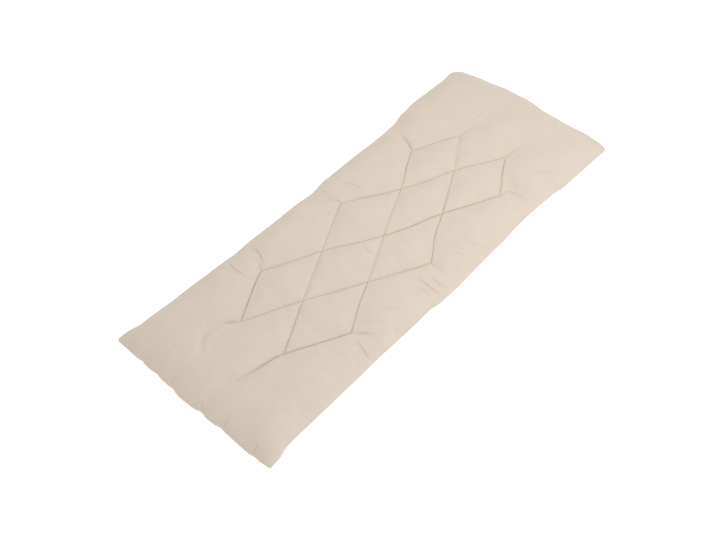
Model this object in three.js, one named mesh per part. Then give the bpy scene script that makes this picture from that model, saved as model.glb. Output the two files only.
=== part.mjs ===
// Quilted cradle mattress lying flat: one filled cotton pad with eight diamonds sewn in its middle.
// Millimetres, +Z up. X runs across the pad and Y along it, with the closing seam at the -Y end.
import * as THREE from 'three';

// Cover panel, seam to seam, before filling and quilting draw its sides in
const PAD_LENGTH = 900;
const PAD_WIDTH = 370;

// Heights above the surface that the pad lies on
const SEAM_HEIGHT = 8;
const LOFT = 31;
const QUILT_HEIGHT = 15;
const UNDER_QUILT_LIFT = 4;

// Distances over which the cover rounds over, in from a seam or a quilting line
const SIDE_ROUND = 50;
const END_ROUND = 64;
const UNDER_ROUND = 26;
const QUILT_ROUND = 90;
const UNDER_QUILT_ROUND = 16;
const TOP_FULLNESS = 0.55;
const UNDER_FULLNESS = 0.8;

// Diamond lattice: its steps across and along the pad, and where its middle point lies
const LATTICE_STEP = { across: 53.2, along: 100.5 };
const LATTICE_MIDDLE = { x: 5.2, y: 6.1 };

// Faces for each lattice step, and the faces between the outermost lattice line and the seam
const FACES_PER_STEP = 6;
const RIM_FACES = 4;
const OUTER_LINE = { across: 3, along: 4 };
const RIM_CROWDING = 1.6;

// Quilting lines as lattice points, each a straight row of stitches
const QUILTING = [
  { from: [-2, 2], to: [2, -2] },
  { from: [-1, 3], to: [2, 0] },
  { from: [-2, 0], to: [1, -3] },
  { from: [1, 3], to: [2, 2] },
  { from: [-2, -2], to: [-1, -3] },
  { from: [-2, 2], to: [-1, 3] },
  { from: [-2, 0], to: [1, 3] },
  { from: [-2, -2], to: [2, 2] },
  { from: [-1, -3], to: [2, 0] },
  { from: [1, -3], to: [2, -2] },
];

// How far each crossing or corner of the quilting strays from the even lattice, and that shift's reach
const STRAY = [
  { across: -2, along: 2, dx: 7, dy: -4 },
  { across: -1, along: 3, dx: -1, dy: -11 },
  { across: -2, along: 0, dx: -3, dy: 5 },
  { across: -1, along: 1, dx: 5, dy: 5 },
  { across: 0, along: 2, dx: -3, dy: 5 },
  { across: 1, along: 3, dx: -2, dy: -5 },
  { across: -2, along: -2, dx: 0, dy: -3 },
  { across: -1, along: -1, dx: -3, dy: 0 },
  { across: 0, along: 0, dx: 4, dy: -3 },
  { across: 1, along: 1, dx: -1, dy: 4 },
  { across: 2, along: 2, dx: -2, dy: 5 },
  { across: -1, along: -3, dx: 1, dy: 0 },
  { across: 0, along: -2, dx: -4, dy: -1 },
  { across: 1, along: -1, dx: 1, dy: 0 },
  { across: 2, along: 0, dx: 5, dy: 1 },
  { across: 1, along: -3, dx: -3, dy: -1 },
  { across: 2, along: -2, dx: 0, dy: 1 },
];
const STRAY_SPREAD = 60;

// How far the two long seams are drawn in from straight, section by section along the pad
const LONG_SEAMS = [
  { at: -450, left: -2, right: 1 },
  { at: -436, left: -1, right: 2 },
  { at: -400, left: 6, right: 9 },
  { at: -320, left: 9, right: 9 },
  { at: -240, left: 12, right: 9 },
  { at: -195, left: 15, right: 10 },
  { at: -160, left: 13, right: 9 },
  { at: -110, left: 14, right: 8 },
  { at: -70, left: 14, right: 9 },
  { at: -40, left: 14, right: 5 },
  { at: 0, left: 17, right: 5 },
  { at: 40, left: 11, right: 6 },
  { at: 120, left: 10, right: 7 },
  { at: 200, left: 10, right: 10 },
  { at: 240, left: 8, right: 9 },
  { at: 280, left: 0, right: 7 },
  { at: 320, left: -4, right: 1 },
  { at: 400, left: -2, right: -1 },
  { at: 450, left: -6, right: -3 },
];

// How far the two short seams are drawn in, or bulge out where below 0, section by section across
const SHORT_SEAMS = [
  { at: -185, near: -4, far: -2 },
  { at: -165, near: -4, far: -12 },
  { at: -120, near: -5, far: -18 },
  { at: -60, near: -6, far: -24 },
  { at: -15, near: -9, far: -23 },
  { at: 45, near: -7, far: -14 },
  { at: 90, near: -5, far: -11 },
  { at: 135, near: -6, far: -10 },
  { at: 165, near: -4, far: -6 },
  { at: 185, near: -2, far: 0 },
];

// How closely the cover's shift keeps to the seam that causes it: higher dies out sooner
const LONG_SEAM_GRIP = 4;
const SHORT_SEAM_GRIP = 10;

// Puckers where the closing seam was gathered: a notch in the seam and a short trough behind it
const PUCKERS = [
  { x: -118, notch: 3, width: 8, run: 24 },
  { x: -82, notch: 2, width: 9, run: 20 },
  { x: -38, notch: 2, width: 9, run: 34 },
  { x: 30, notch: 4, width: 10, run: 38 },
  { x: 75, notch: 3, width: 9, run: 28 },
  { x: 152, notch: 3, width: 8, run: 26 },
];
const PUCKER_DEPTH = 6;

// Main tension creases between the quilting's corners and the seams, each a bent trough
const CREASES = [
  { name: 'far left', from: [-93, 203], bend: [-122, 212], to: [-168, 236], width: 7, depth: 6 },
  { name: 'left', from: [-104, 8], bend: [-128, -4], to: [-172, -22], width: 8, depth: 6 },
  { name: 'left, upper', from: [-112, 44], bend: [-138, 40], to: [-166, 28], width: 7, depth: 3 },
  { name: 'near left', from: [-101, -198], bend: [-124, -178], to: [-170, -174], width: 8, depth: 6 },
  { name: 'near left, lower', from: [-121, -229], bend: [-140, -226], to: [-162, -218], width: 7, depth: 4 },
  { name: 'near corner', from: [-50, -300], bend: [-82, -332], to: [-52, -376], width: 13, depth: 5 },
  { name: 'near end', from: [56, -298], bend: [56, -338], to: [38, -384], width: 8, depth: 7 },
  { name: 'near right', from: [112, -195], bend: [138, -186], to: [168, -170], width: 8, depth: 5 },
  { name: 'near right, lower', from: [116, -200], bend: [138, -212], to: [170, -218], width: 7, depth: 4 },
  { name: 'right', from: [117, 4], bend: [134, -20], to: [172, -34], width: 8, depth: 5 },
  { name: 'right, lower', from: [112, -14], bend: [128, -42], to: [168, -58], width: 8, depth: 4 },
  { name: 'right, upper', from: [100, 86], bend: [132, 100], to: [170, 92], width: 8, depth: 3 },
  { name: 'far right', from: [111, 212], bend: [122, 236], to: [168, 238], width: 8, depth: 5 },
  { name: 'far right, lower', from: [114, 206], bend: [146, 212], to: [172, 214], width: 7, depth: 3 },
  { name: 'far end, right', from: [58, 302], bend: [66, 326], to: [76, 362], width: 9, depth: 5 },
  { name: 'far end, left', from: [-48, 296], bend: [-34, 346], to: [-30, 412], width: 9, depth: 5 },
];
const CREASE_STEPS = 8;

const COTTON = new THREE.MeshStandardMaterial({ color: 0xdacdbe, roughness: 0.95, metalness: 0 });

const { clamp, lerp, smoothstep } = THREE.MathUtils;

// Value of a table's column at a place between two of its rows
function readTable(rows, column, place) {
  const next = clamp(rows.findIndex((row) => row.at >= place), 1, rows.length - 1);
  const [before, after] = [rows[next - 1], rows[next]];
  return lerp(before[column], after[column], smoothstep(place, before.at, after.at));
}

// Rise of a filled cover from 0 at a held line to 1 at the given reach from it
function puff(distance, reach, fullness) {
  const left = 1 - clamp(distance / reach, 0, 1);
  return (1 - left * left) ** fullness;
}

// Bell curve from 1 on a line to about a third at the given width beside it
function bell(distance, width) {
  return Math.exp(-((distance / width) ** 2));
}

function flatPoint([x, y]) {
  return new THREE.Vector3(x, y, 0);
}

function latticePoint([across, along]) {
  const x = LATTICE_MIDDLE.x + across * LATTICE_STEP.across;
  const y = LATTICE_MIDDLE.y + along * LATTICE_STEP.along;
  return flatPoint([x, y]);
}

const quiltLines = QUILTING.map(({ from, to }) => new THREE.Line3(latticePoint(from), latticePoint(to)));

const creaseLines = CREASES.map(({ from, bend, to, width, depth }) => {
  const curve = new THREE.QuadraticBezierCurve3(flatPoint(from), flatPoint(bend), flatPoint(to));
  return { points: curve.getPoints(CREASE_STEPS), width, depth };
});

function distanceToLine(line, point) {
  return line.closestPointToPoint(point, true, new THREE.Vector3()).distanceTo(point);
}

function distanceToQuilting(point) {
  return Math.min(...quiltLines.map((line) => distanceToLine(line, point)));
}

// A crease is deepest at its corner of the quilting and dies out towards the seam
function creaseDepth({ points, width, depth }, point) {
  let deepest = 0;
  points.slice(1).forEach((end, i) => {
    const line = new THREE.Line3(points[i], end);
    const along = (i + line.closestPointToPointParameter(point, true)) / CREASE_STEPS;
    deepest = Math.max(deepest, depth * (1 - along * along) * bell(distanceToLine(line, point), width));
  });
  return deepest;
}

function puckerDepth({ x, width, run }, point) {
  const fromEnd = point.y + PAD_LENGTH / 2;
  return PUCKER_DEPTH * bell(point.x - x, width) * bell(fromEnd, run);
}

// Distances in from the nearest long and short seam
function seamDistances(point) {
  return { side: PAD_WIDTH / 2 - Math.abs(point.x), end: PAD_LENGTH / 2 - Math.abs(point.y) };
}

function underHeight(point) {
  const { side, end } = seamDistances(point);
  const seamRise = SEAM_HEIGHT * (1 - puff(Math.min(side, end), UNDER_ROUND, UNDER_FULLNESS));
  const held = 1 - puff(distanceToQuilting(point), UNDER_QUILT_ROUND, UNDER_FULLNESS);
  return seamRise + UNDER_QUILT_LIFT * held;
}

function topHeight(point) {
  const { side, end } = seamDistances(point);
  const quilted = puff(distanceToQuilting(point), QUILT_ROUND, TOP_FULLNESS);
  const troughs = creaseLines.map((crease) => creaseDepth(crease, point));
  const puckers = PUCKERS.map((pucker) => puckerDepth(pucker, point));
  const full = lerp(QUILT_HEIGHT, LOFT, quilted) - Math.max(...troughs) - Math.max(...puckers);
  const rounding = puff(side, SIDE_ROUND, TOP_FULLNESS) * puff(end, END_ROUND, TOP_FULLNESS);
  return lerp(SEAM_HEIGHT, full, rounding);
}

// How far in the nearest long and short seam are drawn beside a point
function drawnIn(point) {
  const long = readTable(LONG_SEAMS, point.x < 0 ? 'left' : 'right', point.y);
  if (point.y > 0) return { long, short: readTable(SHORT_SEAMS, 'far', point.x) };
  const notches = PUCKERS.map(({ x, notch, width }) => notch * bell(point.x - x, width));
  return { long, short: readTable(SHORT_SEAMS, 'near', point.x) + Math.max(...notches) };
}

// Shift of the cover round the crossings of the quilting, full at each crossing
function strayAt(point) {
  const shares = STRAY.map(({ across, along }) => (
    bell(point.distanceTo(latticePoint([across, along])), STRAY_SPREAD)
  ));
  const total = Math.max(1, shares.reduce((sum, share) => sum + share, 0));
  const mean = (column) => STRAY.reduce((sum, row, i) => sum + row[column] * shares[i], 0) / total;
  return { dx: mean('dx'), dy: mean('dy') };
}

// Where an even point of the pad really lies, once its seams are drawn in and its quilting strays
function placeOf(point) {
  const { long, short } = drawnIn(point);
  const { dx, dy } = strayAt(point);
  const side = Math.abs(point.x) / (PAD_WIDTH / 2);
  const end = Math.abs(point.y) / (PAD_LENGTH / 2);
  const x = point.x - Math.sign(point.x) * long * side ** LONG_SEAM_GRIP + dx;
  const y = point.y - Math.sign(point.y) * short * end ** SHORT_SEAM_GRIP + dy;
  return { x, y };
}

// Even grid lines across or along the pad, with crowded ones between the outer lattice line and a seam
function gridLines(middle, step, outerLine, seam) {
  const inner = outerLine * FACES_PER_STEP;
  const lines = [];
  for (let i = -inner; i <= inner; i += 1) lines.push(middle + (i * step) / FACES_PER_STEP);
  const [first, last] = [lines[0], lines[lines.length - 1]];
  for (let i = 1; i <= RIM_FACES; i += 1) {
    const share = 1 - (1 - i / RIM_FACES) ** RIM_CROWDING;
    lines.unshift(lerp(first, -seam, share));
    lines.push(lerp(last, seam, share));
  }
  return lines;
}

const gridX = gridLines(LATTICE_MIDDLE.x, LATTICE_STEP.across, OUTER_LINE.across, PAD_WIDTH / 2);
const gridY = gridLines(LATTICE_MIDDLE.y, LATTICE_STEP.along, OUTER_LINE.along, PAD_LENGTH / 2);
const lastX = gridX.length - 1;
const lastY = gridY.length - 1;

function isOnSeam([i, j]) {
  return i === 0 || j === 0 || i === lastX || j === lastY;
}

// Corners of a block of faces and, where a side lies on the seam, the seam's vertices along it
function ringOfBlock(i, j, size) {
  const corners = [[i, j], [i + size, j], [i + size, j + size], [i, j + size]];
  return corners.flatMap((corner, k) => {
    const next = corners[(k + 1) % corners.length];
    const between = [(corner[0] + next[0]) / 2, (corner[1] + next[1]) / 2];
    return size > 1 && isOnSeam(between) ? [corner, between] : [corner];
  });
}

// A block on the seam fans out from its innermost corner, any other is split along its quilting line
function fanStart(ring) {
  const fromMiddle = ([i, j]) => Math.hypot(i - lastX / 2, j - lastY / 2);
  const [[i, j]] = ring;
  if (ring.some(isOnSeam)) {
    return ring.reduce((best, spot, k) => (fromMiddle(spot) < fromMiddle(ring[best]) ? k : best), 0);
  }
  const across = Math.floor((i - RIM_FACES) / FACES_PER_STEP) - OUTER_LINE.across;
  const along = Math.floor((j - RIM_FACES) / FACES_PER_STEP) - OUTER_LINE.along;
  return (across + along) % 2 === 0 ? 0 : 1;
}

// The cover's top has small faces and its underside blocks of two by two, joined all round the seam
function buildPad() {
  const positions = [];
  const numbers = new Map();

  function vertexNumber(spot, height) {
    const key = isOnSeam(spot) ? `seam ${spot}` : `${height.name} ${spot}`;
    if (!numbers.has(key)) {
      const point = new THREE.Vector3(gridX[spot[0]], gridY[spot[1]], 0);
      const { x, y } = placeOf(point);
      numbers.set(key, positions.length / 3);
      positions.push(x, y, height(point));
    }
    return numbers.get(key);
  }

  function panel(height, blockSize, facesUp) {
    const triangles = [];
    for (let i = 0; i < lastX; i += blockSize) {
      for (let j = 0; j < lastY; j += blockSize) {
        const ring = ringOfBlock(i, j, blockSize);
        const start = fanStart(ring);
        const turned = [...ring.slice(start), ...ring.slice(0, start)];
        const [hub, ...rest] = turned.map((spot) => vertexNumber(spot, height));
        rest.slice(1).forEach((end, k) => {
          triangles.push(...(facesUp ? [hub, rest[k], end] : [hub, end, rest[k]]));
        });
      }
    }
    return triangles;
  }

  const triangles = [...panel(topHeight, 1, true), ...panel(underHeight, 2, false)];
  const geometry = new THREE.BufferGeometry();
  geometry.setAttribute('position', new THREE.Float32BufferAttribute(positions, 3));
  geometry.setIndex(triangles);
  geometry.computeBoundingBox();
  const box = geometry.boundingBox;
  geometry.translate(-(box.min.x + box.max.x) / 2, -(box.min.y + box.max.y) / 2, -box.min.z);
  geometry.computeVertexNormals();
  return geometry;
}

const mattress = new THREE.Group();
const pad = new THREE.Mesh(buildPad(), COTTON);
pad.name = 'mattress_pad';
mattress.add(pad);

export default mattress;
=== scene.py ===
"""Quilted cradle mattress: a filled cotton cover with eight diamonds sewn in its middle.

Sews the cover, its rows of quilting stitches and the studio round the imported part. The tables
are in millimetres on the cover as it was cut, flat and even: X runs across the pad and Y along
it, with the closing seam at the -Y end. Everything that is built from them is in metres.
"""
import math

import bpy
import numpy as np
from mathutils import Matrix, Vector, noise


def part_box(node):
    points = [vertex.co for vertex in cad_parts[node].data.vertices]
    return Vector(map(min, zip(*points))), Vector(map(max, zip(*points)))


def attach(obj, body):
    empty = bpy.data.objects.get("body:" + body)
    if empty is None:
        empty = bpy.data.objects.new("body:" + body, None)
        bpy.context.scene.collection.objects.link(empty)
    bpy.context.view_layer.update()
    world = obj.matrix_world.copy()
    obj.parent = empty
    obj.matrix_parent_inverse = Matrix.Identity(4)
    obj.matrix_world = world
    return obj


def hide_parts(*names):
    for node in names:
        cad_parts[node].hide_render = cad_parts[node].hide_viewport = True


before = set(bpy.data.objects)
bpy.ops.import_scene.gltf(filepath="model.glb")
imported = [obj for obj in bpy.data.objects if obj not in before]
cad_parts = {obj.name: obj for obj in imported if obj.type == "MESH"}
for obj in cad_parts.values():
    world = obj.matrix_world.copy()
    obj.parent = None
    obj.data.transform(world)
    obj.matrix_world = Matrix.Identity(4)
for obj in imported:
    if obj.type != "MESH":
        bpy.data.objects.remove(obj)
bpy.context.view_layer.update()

bl_info = {
    "name": "Quilted Cradle Mattress",
    "version": (1, 0, 0),
    "blender": (4, 5, 0),
    "location": "View3D > Sidebar > Cradle Mattress",
    "description": "Sews a quilted cotton cradle mattress and sets up a plain studio for it",
    "category": "Object",
}

MM = 0.001
PAD_NODE = "mattress_pad"
BODY = "root"

# Cover panel, seam to seam, before filling and quilting draw its sides in
PAD_LENGTH = 900
PAD_WIDTH = 370

# Distances over which the cover rounds over, in from a seam or a quilting line
SIDE_ROUND = 50
END_ROUND = 64
UNDER_ROUND = 26
CELL_ROUND = 10
QUILT_ROUND = 90
UNDER_QUILT_ROUND = 16

# How gradually the cover rounds over: the higher, the flatter it starts
TOP_FULLNESS = 0.55
OUTER_FULLNESS = 1.1
UNDER_FULLNESS = 0.8

# Diamond lattice: its steps across and along the pad, and where its middle point lies
LATTICE_STEP = (53.2, 100.5)
LATTICE_MIDDLE = (7.2, 4.1)

# Rows of the cloth's mesh to each lattice step, and how near a seam an inner vertex may lie, as
# a share of a row's own step
ROWS_PER_STEP = 18
NEAREST_TO_SEAM = 0.3

# How near a line a vertex counts as on it, and how near another vertex it is merged
ON_LINE = 0.1
MERGED = 0.01

# Least distance that anything is divided by
NEVER_ZERO = 0.001

# Distances from a seam, a row of stitches and a tension crease within which the mesh is finest,
# and the same for a loose crease, in the crease's own widths
BESIDE_SEAM = 7
BESIDE_STITCHES = 6
BESIDE_CREASE = 6
LOOSE_CREASE_WIDTHS = 1.7

# Quilting lines as lattice points, each a row of stitches; how tightly each of its lattice
# steps is pulled, as the cloth rises more steeply beside a tighter one; how far from the row the
# middle of a step counts as lying, for the filling and for the cloth, which ease up there; and
# how dark the cloth is painted along the row, from 0 to 1, partly as the needle's marks and
# partly as painted shade of the stitch groove
QUILTING = [
    ((-2, 2), (-1, 1), (3,), 12, 0, 0.1),
    ((-1, 1), (1, -1), (1.5, 1.1), 12, 1, 0),
    ((1, -1), (2, -2), (2.6,), 12, 0, 0.1),
    ((-1, 3), (0, 2), (0.8,), 12, 3, 0),
    ((0, 2), (2, 0), (1.8, 2.6), 12, 0, 0.1),
    ((-2, 0), (0, -2), (1.6, 1.1), 12, 1, 0),
    ((0, -2), (1, -3), (1.8,), 12, 0, 0),
    ((1, 3), (2, 2), (2.4,), 12, 0, 0.1),
    ((-2, -2), (-1, -3), (3.2,), 10, 0, 0.2),
    ((-2, 2), (-1, 3), (1.4,), 0, 0, 0.8),
    ((-2, 0), (1, 3), (1.2, 1.1, 1.2), 0, 0, 0.4),
    ((-2, -2), (0, 0), (0.9, 1.2), 0, 0, 0.2),
    ((0, 0), (2, 2), (2, 1.6), 0, 0, 1),
    ((-1, -3), (2, 0), (1, 1, 1.2), 0, 0, 0.2),
    ((1, -3), (2, -2), (2,), 0, 0, 0.5),
]

# How far each crossing or corner of the quilting strays from the even lattice: its lattice
# point, the shift across and the shift along
STRAY = [
    (-2, 2, 7, -5),
    (-1, 3, -1, -13),
    (-2, 0, -5, 6),
    (-1, 1, 6, 5),
    (0, 2, -3, 6),
    (1, 3, -2, -6),
    (-2, -2, -1, -2),
    (-1, -1, -3, 0),
    (0, 0, 5, -4),
    (1, 1, -2, 4),
    (2, 2, -1, 5),
    (-1, -3, 1, 1),
    (0, -2, -4, -1),
    (1, -1, 1, 0),
    (2, 0, 5, 1),
    (1, -3, -3, 0),
    (2, -2, 1, 2),
]
STRAY_SPREAD = 60

# Where a row of stitches bows between two crossings, in the same way
BOWED = [
    (1.5, 0.5, -3.3, -1.4),
    (1.5, -1.5, -1.5, -0.5),
    (1.5, 2.5, -1.3, -0.6),
    (-0.5, 1.5, 1.9, -1.4),
    (-0.5, -0.5, 1.9, -1.4),
    (0.5, 0.5, 1.8, -1.2),
    (-1.5, -1.5, 1, -0.6),
    (0.5, -1.5, 0.9, -0.6),
]
BOWED_SPREAD = 30

# How far the two long seams are drawn in from straight: the place along the pad, left, right
LONG_SEAMS = [
    (-450, -2, 1),
    (-436, -1, 2),
    (-400, 6, 9),
    (-320, 9, 9),
    (-240, 12, 9),
    (-195, 15, 10),
    (-160, 13, 9),
    (-110, 14, 8),
    (-70, 14, 9),
    (-40, 14, 5),
    (0, 17, 5),
    (40, 11, 6),
    (120, 10, 7),
    (200, 10, 10),
    (240, 8, 9),
    (280, 0, 7),
    (320, -4, 1),
    (400, -2, -1),
    (450, -6, -3),
]

# How far the two short seams are drawn in, or bulge out where below 0: the place across the
# pad, near end, far end
SHORT_SEAMS = [
    (-185, -4, -2),
    (-165, -4, -12),
    (-120, -5, -18),
    (-60, -6, -24),
    (-15, -9, -23),
    (45, -7, -14),
    (90, -5, -11),
    (135, -6, -10),
    (165, -4, -6),
    (185, -2, 0),
]
LONG_SEAM_GRIP = 4
SHORT_SEAM_GRIP = 10

# Puckers where the closing seam was gathered: place across, notch, width and run of the trough
PUCKERS = [
    (-118, 2, 6, 12),
    (-82, 2, 9, 12),
    (-38, 2, 8, 14),
    (30, 3, 8, 14),
    (75, 2, 8, 12),
    (152, 1, 6, 12),
]
PUCKER_DEPTH = 2.5

# Tension creases that run on from the quilting's corners: the corner, the other points of the
# path, how tightly it is pulled, and how far it loosens by its end
CORNER_CREASES = [
    ((-2, 2), [(-111, 213), (-126, 219), (-140, 221), (-152, 226), (-163, 233)], 1.1, 16),
    ((-1, 3), [(-43, 322), (-37, 335), (-37, 349), (-31, 359), (-30, 370)], 0.9, 22),
    ((1, 3), [(62, 319), (66, 338), (68, 351), (75, 365)], 1, 16),
    ((2, 2), [(115, 216), (121, 225), (135, 225), (150, 229), (164, 232), (178, 234)], 0.9, 26),
    ((2, 0), [(120, 1), (141, 2), (157, -1), (169, -1)], 0.8, 30),
    ((2, -2), [(132, -185), (149, -177), (167, -164)], 1, 24),
    ((1, -3), [(54, -316), (51, -336), (48, -349), (45, -361), (42, -376), (33, -389)], 2.4, 14),
    ((-1, -3), [(-55, -308), (-63, -319), (-68, -334), (-71, -348)], 1.1, 14),
    ((-2, -2), [(-112, -190), (-127, -182)], 1.3, 16),
    ((-2, 0), [(-108, 5), (-122, -1), (-141, -10), (-164, -19)], 1.1, 20),
]
CREASE_LOOSENING = 3

# Distance from a seam or a row of stitches within which a loose crease starts, and how it fades
# towards its ends, where a lower number keeps it deep for longer
CREASE_START = 6
CREASE_FADE = 0.75

# Loose creases in the filled cloth: their path, width and depth. The first eight deepen the
# tension creases beside the quilting's corners.
LOOSE_CREASES = [
    ([(62, -292), (54, -316), (51, -336), (48, -349), (45, -361), (42, -376), (33, -389)], 1.8, 2.4),
    ([(-43, -297), (-55, -308), (-64, -322)], 3, 2.2),
    ([(-98, 204), (-111, 213), (-126, 219), (-140, 221), (-154, 227)], 2.5, 1.6),
    ([(61, 296), (62, 319), (66, 338)], 3, 2),
    ([(-46, 290), (-43, 322), (-37, 335), (-37, 349)], 3, 2),
    ([(107, 198), (115, 203), (115, 216), (121, 225)], 3, 1.6),
    ([(118, 224), (135, 225), (150, 229), (164, 232), (180, 234)], 3.5, 1.8),
    ([(112, -205), (132, -185), (149, -177)], 3, 1.6),
    ([(92, 75), (126, 98)], 3, 1.3),
    ([(117, 81), (131, 77), (145, 80), (161, 85), (179, 97)], 3, 1.8),
    ([(125, 37), (141, 47), (154, 51), (166, 59)], 3.5, 1.4),
    ([(94, 134), (109, 144), (129, 149)], 3, 1.2),
    ([(122, -24), (141, -23), (162, -25), (173, -20), (182, -10)], 3, 2.2),
    ([(118, -39), (139, -40), (159, -41), (182, -38)], 3, 2.4),
    ([(127, -55), (145, -55), (171, -51)], 3, 1.8),
    ([(158, -66), (171, -64), (182, -62)], 3, 1.5),
    ([(108, 230), (118, 243), (133, 251)], 3, 1),
    ([(150, 198), (163, 199), (176, 203)], 3, 1.4),
    ([(122, 288), (148, 308), (166, 320)], 3.5, 1.8),
    ([(108, -184), (125, -165), (145, -145)], 3, 1.4),
    ([(133, -207), (151, -208), (167, -213), (182, -215)], 3, 2.4),
    ([(179, -197), (182, -215)], 3, 1.7),
    ([(124, -244), (144, -243), (165, -249)], 4, 0.7),
    ([(116, -133), (141, -117), (158, -99)], 3, 1.2),
    ([(163, -145), (181, -138)], 3, 1.4),
    ([(-130, 10), (-162, 3)], 3, 1.4),
    ([(-140, 41), (-122, 50), (-102, 53), (-88, 53)], 3, 1.9),
    ([(-95, -5), (-108, -16), (-126, -22)], 3, 1.2),
    ([(-92, -28), (-109, -33)], 3, 1.2),
    ([(-3, -42), (12, -44), (28, -42)], 3, 1.6),
    ([(-104, -186), (-122, -177), (-142, -172), (-168, -173)], 3, 2.2),
    ([(-171, -222), (-145, -228), (-128, -229), (-101, -226)], 3, 2.6),
    ([(-51, 346), (-51, 366), (-43, 376)], 3.5, 1.8),
    ([(-23, 342), (-17, 356), (-7, 366), (4, 375)], 3, 2),
    ([(-62, 372), (-48, 389), (-43, 405)], 4, 1.5),
    ([(-63, -319), (-68, -334), (-71, -348), (-68, -360), (-55, -375), (-35, -389)], 8, 2.6),
    ([(-82, -336), (-75, -351)], 4, 1.4),
    ([(-99, -410), (-81, -405), (-68, -394), (-58, -382)], 5, 1.2),
    ([(-47, -452), (-47, -443), (-44, -436)], 2.5, 3),
    ([(31, -452), (24, -443), (23, -437)], 2.5, 3),
    ([(148, -452), (146, -440), (147, -433)], 2.5, 3),
    ([(-126, -449), (-125, -444), (-126, -438)], 3, 2.4),
    ([(76, -449), (78, -441), (81, -435)], 3, 2.2),
]

# How gently held lines that meet share their pull: higher makes sharper ridges between them
PULL_SHARING = 4

# Ripples across the cloth beside a row of stitches and beside the seam: height, length from
# one to the next, and how far in they die out
STITCH_RIPPLES = (0.35, 11, 9)
SEAM_RIPPLES = (0.45, 17, 16)

# Waves that push the ripples along, and how far; and the wave that makes some lower: strength,
# length, and how much further on each held line starts in it
RIPPLE_SHIFTS = [(0.5, 23, 1), (0.3, 9.1, 2.3)]
RIPPLE_SHIFT = 3
RIPPLE_FADES = (0.3, 31, 1.7)

# Numbers that the long and the short seams have among the held lines
LONG_SEAM_NUMBER = 40
SHORT_SEAM_NUMBER = 50

# Lumps of the loose filling: height and size, the large ones first
FILLING_LUMPS = [(1.1, 52), (0.45, 21)]

# Corners that weren't turned out fully: side, end, and radius of the rounding
BLUNT_CORNERS = [(-1, -1, 8), (-1, 1, 7), (1, 1, 5), (1, -1, 3)]

# Names of what the cover's mesh keeps for each vertex
CUT_PLACE = "cut_place"
SWELLING = "swelling"
TOP_SIDE = "top_side"
# The last is the needle marks together with the painted shade of the stitch grooves
MARK_AND_GROOVE_SHADE = "mark_and_groove_shade"

# What the cover's mesh keeps as a vertex's side
TOP, RIM, UNDER = 1, 0.5, 0

# Simulation of the filling: its frames, steps in each frame, mass of a vertex in kilograms,
# rounds of smoothing, the move in metres that counts as none, and the least divided by
SIMULATED_FRAMES = 20
SIMULATED_STEPS = 5
CLOTH_MASS = 0.15
SMOOTHING_ROUNDS = 3
HELD_STILL = 1e-7
LEAST_MOVE = 1e-9

# Sharpest bend, in degrees, that is shaded smooth
SMOOTH_ANGLE = 60

# One stitch: its sides, how flat it is, how high its middle stands and how far its ends dip,
# the last two in half thicknesses of the thread
STITCH_SIDES = 6
STITCH_FLATNESS = 0.8
STITCH_RISE = 0.7
STITCH_DIP = 1.5

# Distance between the points of the line that a row of stitches follows
STITCH_LINE_STEP = 4

# Cotton weave: distance between threads, how far they wander, and the pattern's own mean
THREAD_PITCH = 0.55
THREAD_WANDER = 0.8
WEAVE_MEAN = 0.4

# Scales of the cotton's patterns, for each metre: wandering threads, slubs across and along a
# thread, mottled colour, crinkles and seed flecks
WANDER_SCALE = 90
SLUB_SCALES = (900, 28)
MOTTLE_SCALE = 22
CRINKLE_SCALE = 130
FLECK_SCALE = 520

# How much the mottling and the slubs lighten or darken the cotton, and how much the weave's
# painted light and shade do, lighter on the threads' crowns and darker between them
MOTTLE_TONE = 0.9
SLUB_TONE = 1.2
WEAVE_LIGHT_AND_SHADE = 0.25

# How rare the seed flecks are, how sharp their edges and how dark
FLECK_RARITY = 0.83
FLECK_EDGE = 12
FLECK_DEPTH = 0.45

# Heights of the weave, the slubs, the crinkles and the thread's twist
WEAVE_RELIEF = 0.05
SLUB_RELIEF = 0.08
CRINKLE_RELIEF = 0.25
TWIST_RELIEF = 0.05

# Cotton's lightest and darkest parts, and its needle marks together with the painted shade of
# the stitch grooves, as shares of its colour
LIGHT_COTTON = (1.045, 1.045, 1.045)
DARK_COTTON = (0.955, 0.95, 0.935)
MARKED_AND_SHADED_COTTON = (0.7, 0.74, 0.62)

# Painted shade in the hollows of the thread's twist and painted light on its crowns, as shares
# of its colour, and the turns of its twist round a stitch and along it
TWIST_HOLLOW_SHADE = (0.8, 0.8, 0.8)
TWIST_CROWN_LIGHT = (1.1, 1.1, 1.1)
TWIST_TURNS = (2, 4)

# Width of the studio floor, in metres
FLOOR_WIDTH = 30

# Where the two softboxes hang, and how wide they are, in metres
OVERHEAD_SOFTBOX = ((0.42, 0.27, 1.13), 0.8)
SIDE_SOFTBOX = ((1.5, -1, 1.85), 1.6)

# Studio camera: its place in metres, the angles in degrees at which it looks and is rolled, its
# lens and film width in millimetres, and the nearest and furthest that it sees
CAMERA_PLACE = (0.79, -0.8214, 1.2748)
CAMERA_AZIMUTH = 46.2112
CAMERA_ELEVATION = 50.0719
CAMERA_ROLL = -4.9439
CAMERA_LENS = 47.3
FILM_WIDTH = 36
CAMERA_SIGHT = (0.05, 100)

# Points along each seam that its drawn-in extent is measured at
RIM_POINTS = 1201


def length(name, description, millimetres, least, most):
    """A length that a user may change, kept in metres."""
    return bpy.props.FloatProperty(
        name=name,
        description=description,
        default=millimetres * MM,
        min=least * MM,
        max=most * MM,
        precision=4,
        unit="LENGTH",
        subtype="DISTANCE",
    )


def number(name, description, default, most, **kind):
    """A plain number that a user may change."""
    return bpy.props.FloatProperty(
        name=name, description=description, default=default, min=0, max=most, **kind
    )


def colour(name, description, red, green, blue):
    """A colour that a user may change, in linear light."""
    return bpy.props.FloatVectorProperty(
        name=name,
        description=description,
        default=(red, green, blue),
        min=0,
        max=1,
        size=3,
        subtype="COLOR",
    )


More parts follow.
